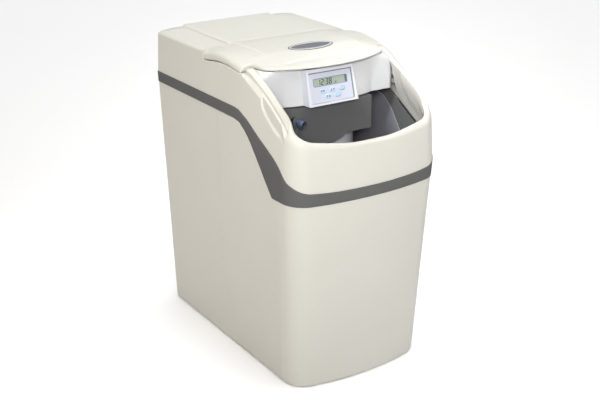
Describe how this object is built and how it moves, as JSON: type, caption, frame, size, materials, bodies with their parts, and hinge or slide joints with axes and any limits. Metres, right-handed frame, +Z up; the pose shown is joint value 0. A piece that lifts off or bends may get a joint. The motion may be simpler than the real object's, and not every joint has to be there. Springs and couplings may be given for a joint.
{
  "type": "water softener",
  "caption": "Compact cabinet water softener with a drafted cabinet, grey wave band, hinged salt lid, open front bay, sloping control panel and an inner resin vessel with its valve.",
  "frame": {"origin": "middle of the footprint on the floor, halfway between the rear face and the foremost point of the band", "axes": "+Z up, the front bay and controls face -Y, +X to the right seen from the front"},
  "size_m": [0.2812, 0.4732, 0.5132],
  "materials": {
    "shell_white": "satin off-white moulding",
    "band_grey": "fine textured grey",
    "badge_silver": "plain silver-grey plate",
    "steel": "plain",
    "overlay": "pale film",
    "lcd_glass": "green-grey display",
    "lcd_dark": "plain",
    "board_green": "plain",
    "switch_black": "plain",
    "dark_grey": "fine textured dark grey",
    "light_grey": "plain",
    "ceramic": "smooth",
    "gear_white": "natural",
    "blue_grey": "plain",
    "turbine_red": "plain",
    "vessel_white": "smooth",
    "foot_black": "plain",
    "resin_amber": "beads, shown as one solid",
    "float_yellow": "foam",
    "button_blue": "soft keys"
  },
  "bodies": {
    "cabinet": {"cabinet_shell": "shell_white", "trim_band": "band_grey", "top_cover": "shell_white", "hinge_brackets": "shell_white", "hinge_pins": "steel", "fascia": "shell_white", "fascia_screws": "steel", "control_housing": "shell_white", "control_overlay": "overlay", "lcd_window": "lcd_glass", "lcd_module": "lcd_dark", "control_board": "board_green", "button_switches": "switch_black", "valve_cover": "dark_grey", "valve_body": "dark_grey", "valve_head": "light_grey", "drive_motor": "steel", "inlet_strainer": "blue_grey", "meter_body": "blue_grey", "meter_axle": "steel", "drain_fitting": "blue_grey", "resin_vessel": "vessel_white", "vessel_foot": "foot_black", "riser_tube": "light_grey", "lower_basket": "light_grey", "upper_basket": "light_grey", "resin_bed": "resin_amber", "inlet_elbow": "blue_grey", "outlet_elbow": "blue_grey", "inlet_pipe": "light_grey", "outlet_pipe": "light_grey", "inlet_port": "blue_grey", "outlet_port": "blue_grey", "port_nuts": "light_grey", "power_inlet": "switch_black", "overflow_port": "blue_grey", "overflow_nut": "light_grey", "brine_well": "vessel_white", "well_cap": "vessel_white", "brine_pickup": "blue_grey", "brine_tube": "foot_black", "brine_elbow": "blue_grey", "salt_platform": "light_grey"},
    "lid_body": {"lid": "shell_white", "lid_badge": "badge_silver", "lid_knuckles": "shell_white"},
    "button_body_1": {"button_1": "button_blue"},
    "button_body_2": {"button_2": "button_blue"},
    "button_body_3": {"button_3": "button_blue"},
    "button_body_4": {"button_4": "button_blue"},
    "button_body_5": {"button_5": "button_blue"},
    "rotor": {"rotor_disc": "ceramic", "drive_gear": "gear_white"},
    "pinion": {"motor_pinion": "gear_white"},
    "turbine": {"meter_turbine": "turbine_red"},
    "float": {"brine_float": "float_yellow"}
  },
  "joints": [
    {"name": "lid_hinge", "type": "hinge", "parent": "cabinet", "child": "lid_body", "pos_m": [0, 0.21355, 0.4989], "axis": [-1, 0, 0], "range_deg": [0, 95]},
    {"name": "button_1_press", "type": "slide", "parent": "cabinet", "child": "button_body_1", "axis": [0, 0.9646, -0.2639], "range_m": [0, 0.001], "stiffness_N_per_m": 300},
    {"name": "button_2_press", "type": "slide", "parent": "cabinet", "child": "button_body_2", "axis": [0, 0.9646, -0.2639], "range_m": [0, 0.001], "stiffness_N_per_m": 300},
    {"name": "button_3_press", "type": "slide", "parent": "cabinet", "child": "button_body_3", "axis": [0, 0.9646, -0.2639], "range_m": [0, 0.001], "stiffness_N_per_m": 300},
    {"name": "button_4_press", "type": "slide", "parent": "cabinet", "child": "button_body_4", "axis": [0, 0.9646, -0.2639], "range_m": [0, 0.001], "stiffness_N_per_m": 300},
    {"name": "button_5_press", "type": "slide", "parent": "cabinet", "child": "button_body_5", "axis": [0, 0.9646, -0.2639], "range_m": [0, 0.001], "stiffness_N_per_m": 300},
    {"name": "rotor_turn", "type": "hinge", "parent": "cabinet", "child": "rotor", "pos_m": [0, -0.01, 0.468], "axis": [0, 0, 1], "continuous": true},
    {"name": "pinion_turn", "type": "hinge", "parent": "cabinet", "child": "pinion", "pos_m": [0, 0.04412, 0.468], "axis": [0, 0, 1], "continuous": true},
    {"name": "turbine_spin", "type": "hinge", "parent": "cabinet", "child": "turbine", "pos_m": [0.061, -0.01, 0.452], "axis": [1, 0, 0], "continuous": true},
    {"name": "float_rise", "type": "slide", "parent": "cabinet", "child": "float", "axis": [0, 0, 1], "range_m": [0, 0.15]}
  ],
  "couplings": [
    {"joint": "pinion_turn", "follows": "rotor_turn", "ratio": -5}
  ]
}
